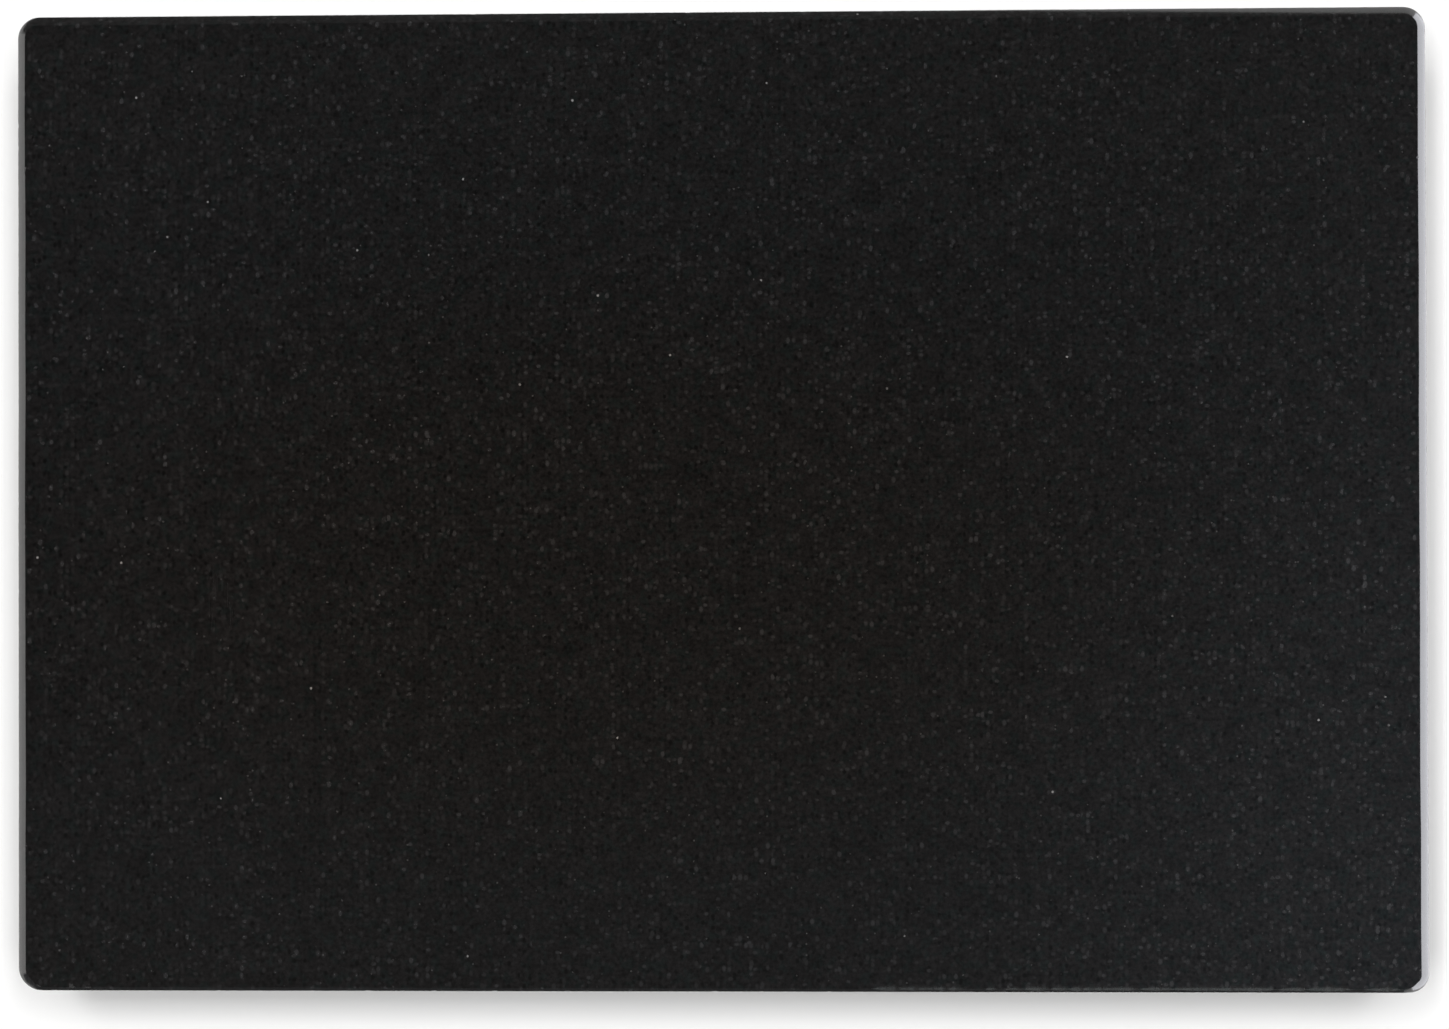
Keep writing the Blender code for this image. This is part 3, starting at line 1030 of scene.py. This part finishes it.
# %% Floor and lights
def plain_material(name, color, roughness):
    """A plain stage material, with the faintest unevenness."""
    material, tree, surface = new_material(name)
    place = millimetres(tree)
    uneven = ramp(tree, noise(tree, place, 0.01), 0.3, 0.7, roughness, roughness + 0.1)
    values = {"Base Color": (*color, 1), "Roughness": uneven, "Specular IOR Level": 0.2}
    shader = put(tree, "ShaderNodeBsdfPrincipled", values)
    tree.links.new(shader.outputs[0], surface)
    return material


def flat_sheet(name, corners, material):
    """A flat four-sided sheet."""
    mesh = bpy.data.meshes.new(name)
    mesh.from_pydata(corners, [], [(0, 1, 2, 3)])
    mesh.materials.append(material)
    sheet = bpy.data.objects.new(name, mesh)
    scene.collection.objects.link(sheet)


def level_square(reach, height):
    """The corners of a level square, centred on the stone."""
    ways = ((-1, -1), (1, -1), (1, 1), (-1, 1))
    return [(x * reach, y * reach, height) for x, y in ways]


FLOOR_REACH = 8.0
floor_material = plain_material("pale_floor", (0.80, 0.80, 0.80), 0.6)
flat_sheet("floor", level_square(FLOOR_REACH, 0), floor_material)

LIGHT_HEIGHT = 4.0
WARM_WHITE = (1.0, 0.997, 0.992)


def soft_light(name, x, y, size, power):
    """A rectangular light that looks straight down."""
    data = bpy.data.lights.new(name, "AREA")
    data.shape = "RECTANGLE"
    data.size, data.size_y = size
    data.energy = power
    data.color = WARM_WHITE
    light = bpy.data.objects.new(name, data)
    light.location = (x, y, LIGHT_HEIGHT)
    light.visible_glossy = False
    scene.collection.objects.link(light)


soft_light("back_light", 0.0, 1.38, (2.4, 1.3), 53)
soft_light("back_left_light", -1.08, 1.20, (0.6, 0.9), 42)
soft_light("back_right_light", 1.25, 1.10, (0.6, 0.9), 37)
soft_light("left_light", -1.18, 0.0, (0.6, 1.4), 66)
soft_light("right_light", 1.36, -0.1, (0.6, 1.4), 41)

# %% [markdown]
# A polished stone is drawn by what it mirrors, so it is surrounded with cards. They show in
# reflections only: they cast no shadow and never get in the camera's way.
#
# - Cards stand along the four sides, one for each bevel: white on the right, pale on the left,
#   grey in front and nearly dark behind. The white, pale and grey ones are less than twice as
#   high as the stone, so the face hardly sees them. The dark one can stand taller.
# - A strip hangs in front on the right. The scoops of the worn stretch catch it as a thin,
#   broken line.
# - A nearly dark panel makes the ceiling, so that the stone looks black, with a cool glow that
#   grows to the front right.
#
# Around all this the room is a dome: dim overhead and paler towards the horizon.


# %% Room and cards
def build_room():
    """The dome of light."""
    world = bpy.data.worlds.new("studio_room")
    scene.world = world
    world.use_nodes = True
    tree = world.node_tree
    tree.nodes.clear()
    direction = put(tree, "ShaderNodeTexCoord").outputs["Generated"]
    height = put(tree, "ShaderNodeSeparateXYZ", {0: direction}).outputs["Z"]
    strength = ramp(tree, height, 0.15, 0.97, 0.36, 0.10)
    color = (1.0, 0.99, 0.985, 1)
    background = put(tree, "ShaderNodeBackground", {"Color": color, "Strength": strength})
    output = put(tree, "ShaderNodeOutputWorld")
    tree.links.new(background.outputs[0], output.inputs["Surface"])


def glowing(name, color, strength):
    """A material that only gives off light. The function gets (tree, place in millimetres)."""
    material, tree, surface = new_material(name)
    place = millimetres(tree)
    inputs = {"Color": color(tree, place), "Strength": strength(tree, place)}
    emission = put(tree, "ShaderNodeEmission", inputs)
    tree.links.new(emission.outputs[0], surface)
    return material


def card_material(name, color, strength):
    """A card that gets a little brighter towards its top."""

    def level(tree, place):
        height = put(tree, "ShaderNodeSeparateXYZ", {0: place}).outputs["Z"]
        return ramp(tree, height, 15.0, 45.0, strength * 0.85, strength * 1.1)

    return glowing(name, lambda tree, place: color, level)


def panel_material():
    """The ceiling panel: nearly dark, with a cool glow that grows towards the front right."""

    def glow(tree, place):
        away = vector_maths(tree, "SUBTRACT", place, (2200.0, -700.0, 3000.0))
        distance = length(tree, away)
        return ramp(tree, distance, 300.0, 2700.0, 1.0, 0.0)

    def color(tree, place):
        return mixed(tree, glow(tree, place), (1.0, 0.96, 0.90, 1), (0.50, 0.78, 1.1, 1))

    def level(tree, place):
        depth = put(tree, "ShaderNodeSeparateXYZ", {0: place}).outputs["Y"]
        front = ramp(tree, depth, -750.0, 0.0, 0.075, 0.0)
        back = ramp(tree, depth, 150.0, 800.0, 0.0, 0.035)
        level = maths(tree, "ADD", maths(tree, "ADD", front, back), 0.015)
        return maths(tree, "MULTIPLY_ADD", glow(tree, place), 0.15, level)

    return glowing("ceiling_panel", color, level)


def reflection_card(name, corners, material):
    """A flat card seen only in reflections."""
    mesh = bpy.data.meshes.new(name)
    mesh.from_pydata(corners, [], [range(len(corners))])
    mesh.materials.append(material)
    card = bpy.data.objects.new(name, mesh)
    scene.collection.objects.link(card)
    card.visible_camera = False
    card.visible_diffuse = False
    card.visible_shadow = False
    card.visible_transmission = False
    card.visible_volume_scatter = False


def upright(start, end, height):
    """The corners of a card that stands on the floor between two places."""
    return [(*start, 0.0), (*end, 0.0), (*end, height), (*start, height)]


build_room()
dark_card = card_material("dark_card", (1.0, 0.98, 0.96, 1), 0.11)
grey_card = card_material("grey_card", (0.95, 0.97, 1.0, 1), 0.17)
strip_card = card_material("strip_card", (0.90, 0.99, 1.0, 1), 1.15)
pale_card = card_material("pale_card", (1.0, 0.99, 0.98, 1), 1.6)
white_card = card_material("white_card", (0.94, 0.945, 1.0, 1), 6.4)
CARD_GAP = 0.05
PANEL_REACH = 4.0
PANEL_HEIGHT = 3.0
front = -stone_size.y / 2 - CARD_GAP
back = stone_size.y / 2 + CARD_GAP
left = -stone_size.x / 2 - CARD_GAP
right = stone_size.x / 2 + CARD_GAP
reflection_card("front_card", upright((-0.30, front), (0.19, front), 0.056), grey_card)
reflection_card(
    "front_strip",
    [(0.11, -0.95, 1.00), (0.11, -1.25, 0.55), (0.75, -1.25, 0.55), (0.75, -0.95, 1.00)],
    strip_card,
)
reflection_card("ceiling_panel", level_square(PANEL_REACH, PANEL_HEIGHT), panel_material())
reflection_card(
    "back_card",
    [
        (-0.30, back, 0.0),
        (0.02, back, 0.0),
        (0.22, back, 0.045),
        (0.22, back, 0.14),
        (-0.30, back, 0.14),
    ],
    dark_card,
)
reflection_card("left_card", upright((left, -0.14), (left, 0.14), 0.06), pale_card)
reflection_card("right_card", upright((right, -0.21), (right, 0.18), 0.06), white_card)

# %% [markdown]
# ## Finish
#
# The fine surface must fill the same space as the model that it stands for. The scene is brought
# up to date.

# %% Finish
bpy.context.view_layer.update()
